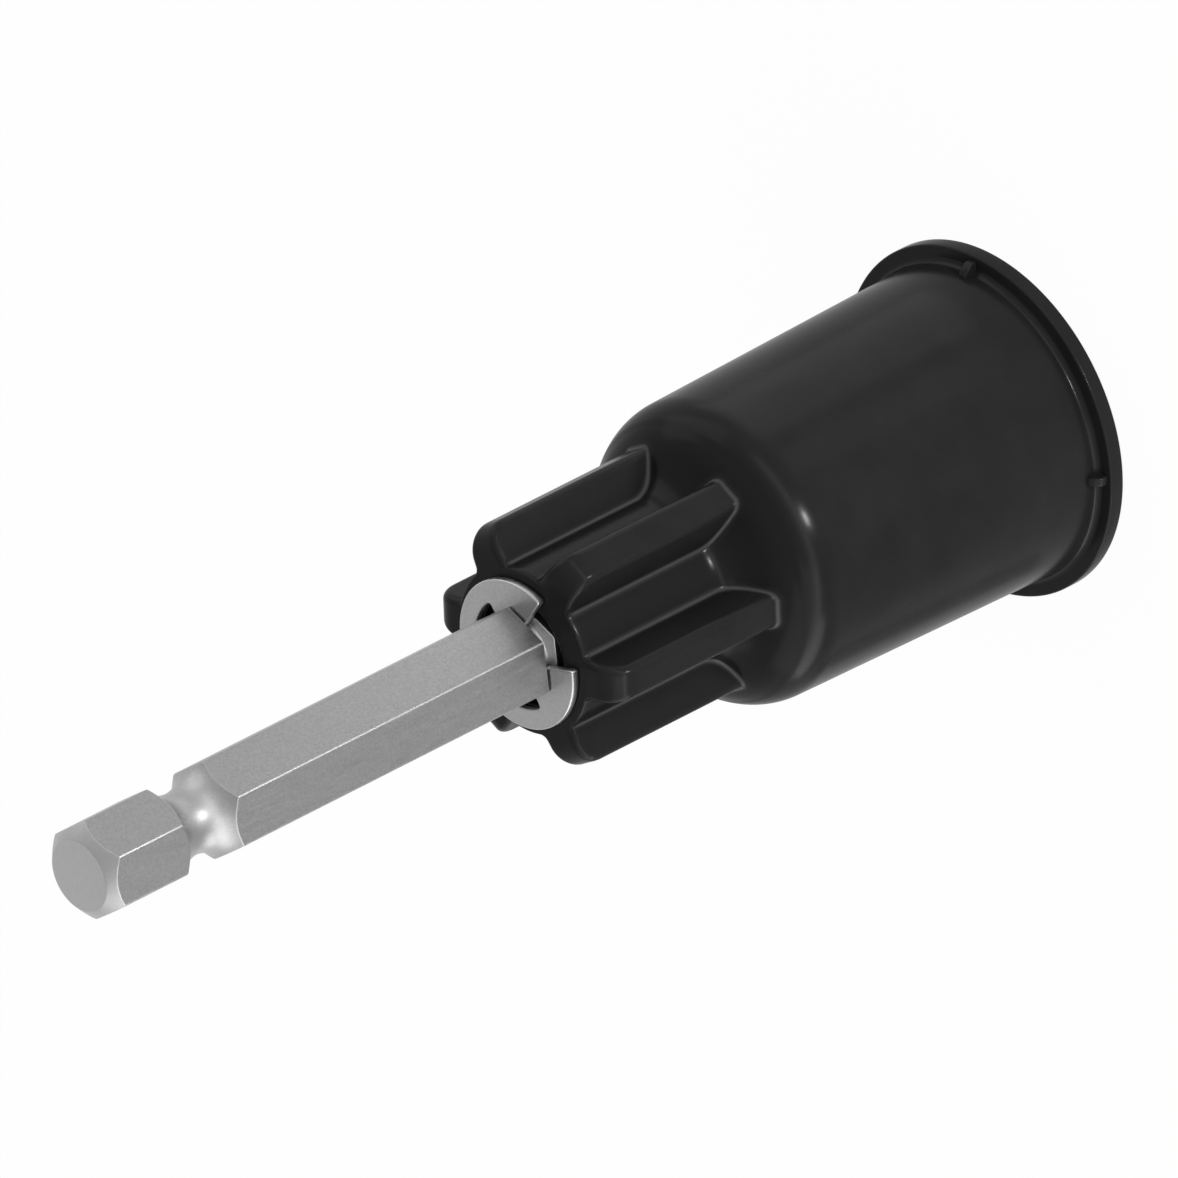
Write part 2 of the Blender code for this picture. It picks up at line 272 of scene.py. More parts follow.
def grid_mesh(name, rings, closed):
    """Quads between rings. A closed grid joins its last ring to its first, and an open one gets end caps."""
    rings = np.asarray(rings)
    rows, columns, _ = rings.shape
    index = np.arange(rows * columns).reshape(rows, columns)
    following = np.roll(index, -1, axis=0)
    quads = np.stack((index, np.roll(index, -1, axis=1), np.roll(following, -1, axis=1), following), axis=-1)
    faces = (quads if closed else quads[:-1]).reshape(-1, 4).tolist()
    if not closed:
        faces += [index[0][::-1].tolist(), index[-1].tolist()]
    mesh = bpy.data.meshes.new(name)
    mesh.from_pydata((rings.reshape(-1, 3) * MM).tolist(), [], faces)
    shape = bmesh.new()
    shape.from_mesh(mesh)
    bmesh.ops.recalc_face_normals(shape, faces=shape.faces)
    shape.to_mesh(mesh)
    shape.free()
    return mesh


def slab_mesh(name, outline, thickness, edge):
    """A flat outline thickened to both sides of its plane, with rounded rims."""
    shape = bmesh.new()
    base = shape.faces.new([shape.verts.new((x, y, -thickness / 2)) for x, y in outline])
    raised = bmesh.ops.extrude_face_region(shape, geom=[base])
    lifted = [v for v in raised["geom"] if isinstance(v, bmesh.types.BMVert)]
    bmesh.ops.translate(shape, verts=lifted, vec=(0.0, 0.0, thickness))
    bmesh.ops.recalc_face_normals(shape, faces=shape.faces)
    rims = [e for e in shape.edges if any(len(f.verts) == len(outline) for f in e.link_faces)]
    bmesh.ops.bevel(
        shape,
        geom=rims,
        offset=edge,
        segments=BEVEL_STEPS,
        profile=ROUND_PROFILE,
        affect="EDGES",
        clamp_overlap=True,
    )
    bmesh.ops.scale(shape, verts=shape.verts, vec=(MM, MM, MM))
    mesh = bpy.data.meshes.new(name)
    shape.to_mesh(mesh)
    shape.free()
    return mesh


def round_join(a, b, radius):
    """Joins two solids, given as distances from their surfaces, with a fillet in the corner between them."""
    inside = np.hypot(np.maximum(radius - a, 0.0), np.maximum(radius - b, 0.0))
    return np.maximum(np.minimum(a, b), radius) - inside


def round_meet(a, b, radius):
    """Keeps what two solids share and rounds the edge between their surfaces."""
    outside = np.hypot(np.maximum(a + radius, 0.0), np.maximum(b + radius, 0.0))
    return np.minimum(np.maximum(a, b), -radius) + outside


def nose_parts(points):
    """Distances from the nose with its shoulder, and from one rib, which lies along +X."""
    x, y, z = points[..., 0], points[..., 1], points[..., 2]
    r = np.hypot(x, y)
    draft = math.radians(SKIRT_DRAFT)
    skirt = (r - SKIRT_RADIUS + z * math.tan(draft)) * math.cos(draft)
    body = round_meet(skirt, z - SHOULDER_HEIGHT, SHOULDER_ROUND)
    nose = round_meet(r - NOSE_RADIUS, z - NOSE_FRONT, NOSE_EDGE)
    core = round_join(nose, body, NOSE_FILLET)
    lean = math.radians(RIB_DRAFT)
    side = (np.abs(y) - RIB_HALF - (RIB_RADIUS - x) * math.tan(lean)) * math.cos(lean)
    front = round_meet(x - RIB_RADIUS, z - NOSE_FRONT, RIB_CORNER)
    return core, round_meet(front, side, RIB_EDGE)


def nose_distance(points):
    """Distance from the outside of the nose, its shoulder and a rib, joined by a fillet."""
    return round_join(*nose_parts(points), RIB_FILLET)


def root_highlight_share(points):
    """Share of the painted highlight on a rib's root: 1 along the middle of the fillet, falling to 0 at the
    fillet's edges.
    """
    core, rib = (np.maximum(1.0 - part / RIB_FILLET, 0.0) for part in nose_parts(points))
    return (2.0 * core * rib) ** ROOT_HIGHLIGHT_SHARPNESS


def recess_shade_share(points):
    """Share of the painted shade: 1 on the nose and the shoulder between the ribs, falling to 0 up the ribs'
    sides and at the skirt.
    """
    r, z = np.hypot(points[..., 0], points[..., 1]), points[..., 2]
    top = RIB_RADIUS - RIB_EDGE
    side = np.clip((top - r) / (top - NOSE_RADIUS), 0.0, 1.0) ** RECESS_SHADE_SHARPNESS
    bare = np.clip(nose_parts(points)[1] / RIB_FILLET - 1.0, 0.0, 1.0)
    above = np.clip((1.0 + (z - SHOULDER_HEIGHT) / SHOULDER_ROUND) / RECESS_SHADE_FADE, 0.0, 1.0)
    return np.maximum(side, bare * above)


def behind_front(points):
    """0 on the nose's front, rising to 1 a little way behind it."""
    return np.clip((NOSE_FRONT - points[..., 2]) / RIB_FILLET - 1.0, 0.0, 1.0)


def settle(points, distance):
    """Moves points along the distance's gradient until they lie on the surface."""
    for _ in range(SETTLE_ROUNDS):
        value = distance(points)
        rises = [distance(points + step) - distance(points - step) for step in SETTLE_STEP * np.eye(3)]
        slope = np.stack(rises, axis=-1) / (2 * SETTLE_STEP)
        points = points - slope * (value / np.maximum((slope**2).sum(-1), LEAST_SLOPE))[..., None]
    return points


def rib_section():
    """Half of a rib's section, from its middle line to the middle of the valley beside it."""
    top = [(RIB_RADIUS, y) for y in np.linspace(0.0, RIB_HALF - RIB_EDGE, RIB_TOP_POINTS)]
    edge = arc((RIB_RADIUS - RIB_EDGE, RIB_HALF - RIB_EDGE), RIB_EDGE, 0, 90, RIB_EDGE_STEPS)
    root_half = RIB_HALF + (RIB_RADIUS - NOSE_RADIUS) * tan_deg(RIB_DRAFT)
    fillet_y = root_half + RIB_FILLET
    fillet_x = math.sqrt((NOSE_RADIUS + RIB_FILLET) ** 2 - fillet_y**2)
    side = np.linspace(edge[-1], (fillet_x, root_half), RIB_SIDE_POINTS)
    fillet_end = 180 + math.degrees(math.atan2(fillet_y, fillet_x))
    fillet = arc((fillet_x, fillet_y), RIB_FILLET, 270, fillet_end, RIB_FILLET_STEPS)
    valley = arc((0.0, 0.0), NOSE_RADIUS, fillet_end - 180, 180 / RIB_COUNT, VALLEY_STEPS)
    return np.array(top[:-1] + edge + [tuple(p) for p in side[1:-1]] + fillet + valley[1:])


def rib_front(x):
    """Height of a rib's front, which curves back towards the rib's top."""
    past = np.maximum(x - (RIB_RADIUS - RIB_CORNER), 0.0)
    return NOSE_FRONT - RIB_CORNER + np.sqrt(np.maximum(RIB_CORNER**2 - past**2, 0.0))


def shoulder_height(r):
    """Height of the shoulder's round at a distance from the axis."""
    centre_r = SKIRT_RADIUS - SHOULDER_HEIGHT * tan_deg(SKIRT_DRAFT) - SHOULDER_ROUND
    past = np.maximum(r - centre_r, 0.0)
    return SHOULDER_HEIGHT - SHOULDER_ROUND + np.sqrt(np.maximum(SHOULDER_ROUND**2 - past**2, 0.0))


def nose_rings(spread):
    """Rings over the nose's front, down its ribs and valleys and out over the shoulder, for half a rib."""
    section = rib_section()
    face = (NOSE_RADIUS - 2 * NOSE_EDGE) * spread
    outer = RIBBED_RADIUS * spread
    top = rib_front(section[:, 0])
    foot = shoulder_height(np.hypot(section[:, 0], section[:, 1]))
    rings = []
    for share in np.linspace(1.0, 0.0, FRONT_RINGS)[:-1] ** RING_CROWDING:
        across = section + (face - section) * share
        rings.append(np.column_stack((across, rib_front(across[:, 0]))))
    for share in np.interp(np.linspace(0.0, 1.0, SIDE_RINGS), *SIDE_RING_PLACES):
        rings.append(np.column_stack((section, top + (foot - top) * share)))
    for share in np.linspace(0.0, 1.0, SHOULDER_RINGS)[1:] ** RING_CROWDING:
        across = section + (outer - section) * share
        rings.append(np.column_stack((across, shoulder_height(np.hypot(across[:, 0], across[:, 1])))))
    surface = settle(np.array(rings), nose_distance)

    # Where a rib's front is flush with the nose's, the fillet between them would stand out of both.
    surface[..., 2] = np.minimum(surface[..., 2], NOSE_FRONT)
    return surface


def plain_rings(first, last):
    """(radius, height) of the cup's plain rings, from the shoulder round the rim and inside to the nose."""
    draft = tan_deg(SKIRT_DRAFT)
    shoulder_z = SHOULDER_HEIGHT - SHOULDER_ROUND
    shoulder_r = SKIRT_RADIUS - shoulder_z * draft - SHOULDER_ROUND / math.cos(math.radians(SKIRT_DRAFT))
    start = math.degrees(math.atan2(first[1] - shoulder_z, first[0] - shoulder_r))
    outside = arc((shoulder_r, shoulder_z), SHOULDER_ROUND, start, SKIRT_DRAFT, SHOULDER_STEPS)[1:]
    foot_z = RIM_THICKNESS + RIM_FILLET
    foot_r = SKIRT_RADIUS - foot_z * draft + RIM_FILLET
    fillet = arc((foot_r, foot_z), RIM_FILLET, 180, 270, FILLET_STEPS)
    skirt = [tuple(p) for p in np.linspace(outside[-1], fillet[0], WALL_POINTS)[1:-1]]
    edge_r = RIM_RADIUS - RIM_EDGE
    rim = arc((edge_r, RIM_THICKNESS - RIM_EDGE), RIM_EDGE, 90, 0, EDGE_STEPS)
    rim += arc((edge_r, RIM_EDGE), RIM_EDGE, 0, -90, EDGE_STEPS)
    mouth_r = SKIRT_RADIUS - WALL
    lip = arc((mouth_r + RIM_EDGE, RIM_EDGE), RIM_EDGE, 270, 180, EDGE_STEPS)
    inner = arc((shoulder_r, shoulder_z), SHOULDER_ROUND - WALL, SKIRT_DRAFT, 90, SHOULDER_STEPS)
    wall = [tuple(p) for p in np.linspace(lip[-1], inner[0], WALL_POINTS)[1:-1]]
    floor_z = SHOULDER_HEIGHT - WALL
    bore = arc((BORE_RADIUS + RIM_EDGE, floor_z + RIM_EDGE), RIM_EDGE, 270, 180, EDGE_STEPS)
    bore += arc((BORE_RADIUS + RIM_EDGE, NOSE_FRONT - RIM_EDGE), RIM_EDGE, 180, 90, EDGE_STEPS)
    face = [tuple(p) for p in np.linspace(bore[-1], last, FACE_POINTS)[1:-1]]
    return outside + skirt + fillet + rim + lip + wall + inner + bore + face


def make_cup(material):
    """One twelfth of the cup is shaped, mirrored across its rib and repeated round the axis."""
    count = len(rib_section())
    angles = np.linspace(0.0, math.pi / RIB_COUNT, count)
    spread = np.column_stack((np.cos(angles), np.sin(angles)))
    rings = list(nose_rings(spread))
    painted_rows = len(rings) + SHOULDER_STEPS
    first = (np.hypot(*rings[-1][0, :2]), rings[-1][0, 2])
    last = (np.hypot(*rings[0][0, :2]), rings[0][0, 2])
    for r, z in plain_rings(first, last):
        rings.append(np.column_stack((r * spread, np.full(count, z))))
    half = np.array(rings)
    mirrored = half[:, 1:][:, ::-1] * (1.0, -1.0, 1.0)
    rib = np.concatenate((mirrored, half[:, :-1]), axis=1)
    turns = []
    for i in range(RIB_COUNT):
        turn = np.array(Matrix.Rotation(2 * math.pi * i / RIB_COUNT, 3, "Z"))
        turns.append(rib @ turn.T)
    mesh = grid_mesh("moulded_cup", np.concatenate(turns, axis=1), closed=True)
    # Painted highlight along the ribs' root fillets and painted shade in the recesses between them, kept as
    # point attributes for the plastic's colour.
    for name, share in (("rib_root_highlight", root_highlight_share), ("rib_recess_shade", recess_shade_share)):
        values = np.zeros(half.shape[:2])
        values[:painted_rows] = share(half[:painted_rows]) * behind_front(half[:painted_rows])
        values = np.concatenate((values[:, 1:][:, ::-1], values[:, :-1]), axis=1)
        marks = mesh.attributes.new(name, "FLOAT", "POINT")
        marks.data.foreach_set("value", np.tile(values, (1, RIB_COUNT)).ravel())
    cup = add_object("moulded_cup", mesh, "cup", material)
    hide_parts("stop_cup")


def make_gussets(material):
    """Small webs in the corner between the skirt and the rim, sloping down to a low outer end."""
    top_z = RIM_THICKNESS + GUSSET_HEIGHT
    root_z = RIM_THICKNESS / 2
    skirt_r = SKIRT_RADIUS - top_z * tan_deg(SKIRT_DRAFT)
    inner_r = skirt_r - WALL / 2
    outer_r = RIM_RADIUS - GUSSET_SETBACK
    outline = [
        (inner_r, root_z),
        (outer_r, root_z),
        (outer_r, RIM_THICKNESS + GUSSET_OUTER_HEIGHT),
        (skirt_r + GUSSET_LAND, top_z),
        (inner_r, top_z),
    ]
    for i in range(GUSSET_COUNT):
        name = f"rim_gusset_{i + 1}"
        mesh = slab_mesh(name, outline, GUSSET_WIDTH, GUSSET_EDGE)
        turn = Matrix.Rotation(2 * math.pi * i / GUSSET_COUNT, 4, "Z")
        mesh.transform(turn @ Matrix.Rotation(math.radians(90), 4, "X"))
        add_object(name, mesh, "cup", material)


def eased(corners):
    """A line through (radius, height, ease) corners, with each eased corner replaced by a small arc."""
    points = []
    for i, (r, z, ease) in enumerate(corners):
        here = np.array((r, z))
        if not ease:
            points.append(here)
            continue
        before = np.array(corners[i - 1][:2]) - here
        after = np.array(corners[i + 1][:2]) - here
        lengths = np.linalg.norm(before), np.linalg.norm(after)
        cut = min(ease, CREASE_SHARE * min(lengths))
        start = here + before / lengths[0] * cut
        end = here + after / lengths[1] * cut
        for t in np.linspace(0.0, 1.0, CREASE_STEPS + 1):
            points.append(start * (1 - t) ** 2 + here * 2 * t * (1 - t) + end * t**2)
    return np.array(points)


def hex_corner_centre():
    """Distance from the axis to the centre of a corner's round."""
    return (HEX_FLATS / 2 - HEX_ROUND) / math.cos(math.pi / HEX_SIDES)


def hex_section():
    """The hex bar's section with rounded corners, one point for each column of the bit's mesh."""
    half = 180 / HEX_SIDES
    corners = []
    for i in range(HEX_SIDES):
        turn = 2 * half * i
        centre = polar(hex_corner_centre(), turn)
        corners.append(arc(centre, HEX_ROUND, turn - half, turn + half, HEX_CORNER_STEPS))
    points = []
    for corner, following in zip(corners, corners[1:] + corners[:1]):
        flat = np.linspace(corner[-1], following[0], HEX_FLAT_POINTS)[1:-1]
        points += corner + [tuple(p) for p in flat]
    return np.array(points)


def clip_groove(limit, clip):
    """Corners of one square clip groove, from its upper edge to its lower edge."""
    low, high = clip[0] - CLIP_GROOVE_PLAY, clip[1] + CLIP_GROOVE_PLAY
    return [
        (limit, high, CREASE),
        (CLIP_GROOVE_RADIUS, high, CREASE),
        (CLIP_GROOVE_RADIUS, low, CREASE),
        (limit, low, CREASE),
    ]


def shank_column(limit):
    """(radius, height) down one column of the shank: its turned outline, cut off at the hex's surface."""
    chamfer_z = SHANK_END - (limit - END_FACE_RADIUS)
    groove = (POWER_GROOVE_RADIUS + POWER_GROOVE_ARC, SHANK_END - POWER_GROOVE_FROM_END)
    half = math.degrees(math.acos((groove[0] - limit) / POWER_GROOVE_ARC))
    hollow = arc(groove, POWER_GROOVE_ARC, 180 - half, 180 + half, GROOVE_STEPS)
    corners = [
        (END_CAP_RADIUS, SHANK_END, 0.0),
        (END_FACE_RADIUS, SHANK_END, CREASE),
        (limit, chamfer_z, CREASE),
        (*hollow[0], CREASE),
    ]
    corners += [(r, z, 0.0) for r, z in hollow[1:-1]]
    corners.append((*hollow[-1], CREASE))
    corners += clip_groove(limit, OUTER_CLIP) + clip_groove(limit, INNER_CLIP)
    corners.append((limit, HEX_END + (limit - HEX_FLATS / 2) / tan_deg(NECK_SLOPE), CREASE))
    corners.append((NECK_RADIUS, HEX_END - (HEX_FLATS / 2 - NECK_RADIUS) / tan_deg(NECK_SLOPE), 0.0))
    return eased(corners)


def softer_of(a, b, blend):
    """The smaller of two radii, with a soft edge where they cross."""
    share = np.clip(0.5 + (b - a) / (2 * blend), 0.0, 1.0)
    return b + (a - b) * share - blend * share * (1 - share)


def tip_radius(angle, z):
    """Radius of the neck and the fluted tip at an angle and a height."""
    body = np.clip(TIP_RADIUS - (z - TIP_BODY) * tan_deg(NECK_SLOPE), NECK_RADIUS, TIP_RADIUS)
    cone = TIP_POINT_RADIUS + (z - TIP_POINT) * tan_deg(TIP_HALF_ANGLE)
    period = 2 * math.pi / FLUTE_COUNT
    past = np.abs(angle % period - period / 2)
    root = FLUTE_ROOT + (z - TIP_POINT) * tan_deg(FLUTE_TAPER)
    flute = root / np.maximum(np.cos(past) - np.sin(past), FLUTE_FLOOR)
    return softer_of(softer_of(body, cone, CREASE), flute, CREASE)


def level_ring(radius, angles, z):
    """Points at one height, one for each angle."""
    return np.column_stack((radius * np.cos(angles), radius * np.sin(angles), np.full(len(angles), z)))


def make_bit(material):
    """The bit as one grid of rings, from the shank's end down to the tip."""
    section = hex_section()
    limits = np.hypot(section[:, 0], section[:, 1])
    unit = section / limits[:, None]
    columns = [shank_column(limit) for limit in limits]
    shank = np.array(columns).transpose(1, 0, 2)
    rings = [np.column_stack((unit * ring[:, :1], ring[:, 1])) for ring in shank]

    # Below the hex the columns slide round to even angles, over the plain neck, and the fluted tip follows.
    count = len(section)
    hex_angles = np.unwrap(np.arctan2(unit[:, 1], unit[:, 0]))
    even_angles = np.arange(count) * 2 * math.pi / count + hex_angles[0]
    neck_top = rings[-1][0, 2]
    neck_end = TIP_BODY + 2 * (TIP_RADIUS - NECK_RADIUS)
    for share in np.linspace(0.0, 1.0, NECK_RINGS)[1:]:
        angles = hex_angles + (even_angles - hex_angles) * share
        rings.append(level_ring(NECK_RADIUS, angles, neck_top + (neck_end - neck_top) * share))
    for z in np.linspace(neck_end, TIP_POINT, TIP_RINGS)[1:]:
        rings.append(level_ring(tip_radius(even_angles, z), even_angles, z))
    mesh = grid_mesh("power_bit", rings, closed=False)
    mesh.transform(Matrix.Rotation(math.radians(REST_TURN), 4, "Z"))
    bit = add_object("power_bit", mesh, "bit", material)
    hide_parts("driver_bit")


def softened(points, step, reach):
    """Even steps along a closed outline, averaged over a short reach each way, which rounds its corners."""
    loop = np.array(points + points[:1])
    along = np.concatenate(([0.0], np.cumsum(np.hypot(*np.diff(loop, axis=0).T))))
    places = np.linspace(0.0, along[-1], round(along[-1] / step), endpoint=False)
    even = np.column_stack([np.interp(places, along, loop[:, axis]) for axis in range(2)])
    span = round(reach / step)
    return sum(np.roll(even, shift, axis=0) for shift in range(-span, span + 1)) / (2 * span + 1)


def clip_outline():
    """An E-clip that opens towards +X: round outside, three gripping prongs and two reliefs inside."""
    mouth = math.degrees(math.asin(CLIP_MOUTH / 2 / CLIP_RADIUS))
    mouth_x = CLIP_RADIUS * math.cos(math.radians(mouth))
    line_x = mouth_x - CLIP_MOUTH / 2 / tan_deg(CLIP_MOUTH_FLARE)
    flare = math.radians(CLIP_MOUTH_FLARE)
    prong = math.degrees(flare + math.asin(-line_x * math.sin(flare) / CLIP_GRIP))
    start, end = CLIP_RELIEF_SPAN
    half = arc((0.0, 0.0), CLIP_RADIUS, 180, mouth, CLIP_RIM_STEPS)
    half += arc((0.0, 0.0), CLIP_GRIP, prong, start, CLIP_PRONG_STEPS)
    half += arc((0.0, 0.0), CLIP_RELIEF, start, end, CLIP_RELIEF_STEPS)
    half += arc((0.0, 0.0), CLIP_GRIP, end, 180, CLIP_BACK_STEPS)
    outline = half + [(x, -y) for x, y in reversed(half[1:-1])]
    return softened(outline, CLIP_STEP, CLIP_CORNER)


def make_clip(name, node, span, turn, material):
    """An E-clip that fills a span of heights, with its mouth turned by an angle."""
    mesh = slab_mesh(name, clip_outline(), span[1] - span[0], CLIP_EDGE)
    middle = (span[0] + span[1]) / 2 * MM
    mesh.transform(Matrix.Translation((0.0, 0.0, middle)) @ Matrix.Rotation(math.radians(turn), 4, "Z"))
    clip = add_object(name, mesh, "bit", material)
    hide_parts(node)


def fill(tree, node, values):
    """Sets a node's inputs: a socket is linked, anything else becomes the input's value."""
    for key, value in values.items():
        if isinstance(value, bpy.types.NodeSocket):
            tree.links.new(value, node.inputs[key])
        else:
            node.inputs[key].default_value = value
    return node


def add_node(tree, kind, values=None, **settings):
    """A new node with its settings and inputs."""
    node = tree.nodes.new(kind)
    for key, value in settings.items():
        setattr(node, key, value)
    return fill(tree, node, values or {})


def compute(tree, operation, *inputs):
    """The result of a math node on sockets and numbers."""
    return add_node(tree, "ShaderNodeMath", dict(enumerate(inputs)), operation=operation).outputs["Value"]


def along_bar(tree, vector):
    """A vector's part along the tool's axis."""
    return add_node(tree, "ShaderNodeSeparateXYZ", {"Vector": vector}).outputs["Z"]


def neutral(level):
    """The colour of a grey."""
    return (level, level, level, 1.0)


def mixed(tree, share, under, over):
    """One colour over another by a share. A mix node's colour sockets come after those for other kinds."""
    return add_node(tree, "ShaderNodeMix", {0: share, 6: under, 7: over}, data_type="RGBA").outputs[2]


def new_material(name):
    """A material, its node tree and the coordinates of the object in metres."""
    made = bpy.data.materials.new(name)
    made.use_nodes = True
    return made, made.node_tree, add_node(made.node_tree, "ShaderNodeTexCoord").outputs["Object"]


def noise(tree, place, feature, detail, stretch=(1.0, 1.0, 1.0)):
    """Noise whose features have a size in millimetres. Stretch below 1 draws them out along an axis."""
    mapped = add_node(tree, "ShaderNodeMapping", {"Vector": place, "Scale": stretch}).outputs["Vector"]
    values = {"Vector": mapped, "Scale": 1 / (feature * MM), "Detail": detail}
    return add_node(tree, "ShaderNodeTexNoise", values).outputs["Fac"]


def between(tree, source, low, high):
    """Spreads the middle of a noise's range between two values."""
    bottom, top = NOISE_MIDDLE
    values = {"Value": source, "From Min": bottom, "From Max": top, "To Min": low, "To Max": high}
    return add_node(tree, "ShaderNodeMapRange", values).outputs["Result"]


def greys(tree, source, dark, light):
    """Spreads the middle of a noise's range between two neutral greys."""
    ramp = add_node(tree, "ShaderNodeValToRGB", {"Fac": source})
    for stop, position, level in zip(ramp.color_ramp.elements, NOISE_MIDDLE, (dark, light)):
        stop.position = position
        stop.color = neutral(level)
    return ramp.outputs["Color"]


def bump(tree, source, depth, strength):
    """Relief from a noise, with its depth in millimetres."""
    values = {"Height": source, "Distance": depth * MM, "Strength": strength}
    return add_node(tree, "ShaderNodeBump", values).outputs["Normal"]


def plastic_material():
    """Satin black plastic with faint flow clouds, a fine mould grain, painted shade in the recesses between
    the ribs and a painted highlight along the rib roots.
    """
    made, tree, place = new_material("moulded_black_plastic")
    clouds = noise(tree, place, *PLASTIC_CLOUDS)
    grain = noise(tree, place, *PLASTIC_GRAIN)
    colour = greys(tree, clouds, *PLASTIC_GREYS)
    # Painted shade darkens the recesses between the ribs, and a painted highlight lightens the ribs' root
    # fillets.
    for name, level in (("rib_recess_shade", RECESS_SHADE_GREY), ("rib_root_highlight", ROOT_HIGHLIGHT_GREY)):
        share = add_node(tree, "ShaderNodeAttribute", attribute_name=name).outputs["Fac"]
        colour = mixed(tree, share, colour, neutral(level))
    values = {
        "Base Color": colour,
        "Roughness": between(tree, clouds, *PLASTIC_ROUGHNESS),
        "IOR": PLASTIC_IOR,
        "Coat Weight": PLASTIC_SKIN,
        "Coat Roughness": PLASTIC_SKIN_ROUGHNESS,
        "Normal": bump(tree, grain, *PLASTIC_BUMP),
    }
    fill(tree, tree.nodes["Principled BSDF"], values)
    return made


def groove_mask(tree, place, low, high):
    """1 between two heights on the bar, and 0 elsewhere."""
    middle, half = (low + high) / 2 * MM, (high - low) / 2 * MM
    return compute(tree, "COMPARE", along_bar(tree, place), middle, half)


def slope_mask(tree, band, normal, lean):
    """1 in a band of heights where the surface leans along the bar by more than a lean, and 0 elsewhere."""
    steep = compute(tree, "ABSOLUTE", along_bar(tree, normal))
    return compute(tree, "MULTIPLY", band, compute(tree, "GREATER_THAN", steep, lean))


def steel_material(name, tones, rough):
    """Satin steel: a fine mottled grain, and a faint draw along the bar in its roughness."""
    made, tree, place = new_material(name)
    grain = noise(tree, place, *STEEL_GRAIN)
    drawn = noise(tree, place, *STEEL_DRAW, STEEL_DRAW_STRETCH)
    values = {
        "Metallic": 1.0,
        "Base Color": greys(tree, grain, *tones),
        "Roughness": between(tree, drawn, *rough),
        "Normal": bump(tree, grain, *STEEL_BUMP),
    }
    fill(tree, tree.nodes["Principled BSDF"], values)
    return made


def end_mask(tree, place, normal, lean):
    """1 at the shank's end where the surface faces upwards by more than a lean, and 0 elsewhere."""
    high = compute(tree, "GREATER_THAN", along_bar(tree, place), (SHANK_END - END_DEPTH) * MM)
    upward = compute(tree, "GREATER_THAN", along_bar(tree, normal), lean)
    return compute(tree, "MULTIPLY", high, upward)


def power_groove_half(radius):
    """Half of the power groove's length along the bar, where the bar has a radius."""
    return math.sqrt(POWER_GROOVE_ARC**2 - (POWER_GROOVE_RADIUS + POWER_GROOVE_ARC - radius) ** 2)


def bit_material():
    """The bar's satin steel, with brighter steel where the chamfer and the end are turned, painted light in
    the clip grooves, and a power groove lighter from its turned finish and a painted highlight.
    """
    made = steel_material("satin_bit_steel", BIT_GREYS, BIT_ROUGHNESS)
    tree = made.node_tree
    shader = tree.nodes["Principled BSDF"]
    coordinates = add_node(tree, "ShaderNodeTexCoord").outputs
    place, normal = coordinates["Object"], coordinates["Normal"]
    margin = CLIP_GROOVE_PLAY + CREASE
    middle = SHANK_END - POWER_GROOVE_FROM_END
    halves = (power_groove_half(HEX_FLATS / 2), power_groove_half(hex_corner_centre() + HEX_ROUND))
    flat_band, corner_band = (groove_mask(tree, place, middle - half, middle + half) for half in halves)
    # Painted light lifts the shade in the clip grooves, the power groove's grey is its turned finish with a
    # painted highlight, and the chamfer and the end are turned steel.
    turned = [
        (groove_mask(tree, place, low - margin, high + margin), CLIP_GROOVE_PAINTED_LIGHT_GREYS)
        for low, high in (OUTER_CLIP, INNER_CLIP)
    ]
    turned += [
        (flat_band, POWER_GROOVE_FINISH_AND_HIGHLIGHT_GREYS),
        (slope_mask(tree, corner_band, normal, POWER_GROOVE_LEAN), POWER_GROOVE_FINISH_AND_HIGHLIGHT_GREYS),
        (end_mask(tree, place, normal, CHAMFER_LEAN), CHAMFER_GREYS),
        (end_mask(tree, place, normal, END_LEAN), END_GREYS),
    ]
    fine = noise(tree, place, *TURNED_GRAIN)
    colour = shader.inputs["Base Color"].links[0].from_socket
    for mask, tones in turned:
        colour = mixed(tree, mask, colour, greys(tree, fine, *tones))
    fill(tree, shader, {"Base Color": colour})
    return made


def view_axes():
    """Right, up and towards-the-camera directions of the photograph, in the frame."""
    azimuth, elevation = math.radians(CAMERA_AZIMUTH), math.radians(CAMERA_ELEVATION)
    slope = math.radians(AXIS_SLOPE)
    level = math.cos(elevation)
    towards = Vector((level * math.cos(azimuth), level * math.sin(azimuth), math.sin(elevation)))
    along = (Vector((0.0, 0.0, 1.0)) - towards * towards.z).normalized()
    across = towards.cross(along)
    right = -math.cos(slope) * along + math.sin(slope) * across
    up = -math.sin(slope) * along - math.cos(slope) * across
    return right, up, towards


def make_camera():
    """A camera with the view of the photograph."""
    right, up, towards = view_axes()
    camera = bpy.data.objects.new("camera", bpy.data.cameras.new("camera"))
    bpy.context.scene.collection.objects.link(camera)
    bpy.context.scene.camera = camera
    camera.data.lens = LENS_MM
    camera.data.sensor_width = SENSOR_MM
    camera.data.clip_start, camera.data.clip_end = (limit * MM for limit in CAMERA_RANGE)
    aim = (Vector((0.0, 0.0, AIM_HEIGHT)) + AIM_RIGHT * right + AIM_UP * up) * MM
    turn = Matrix((right, up, towards)).transposed().to_4x4()
    camera.matrix_world = Matrix.Translation(aim + towards * CAMERA_DISTANCE * MM) @ turn


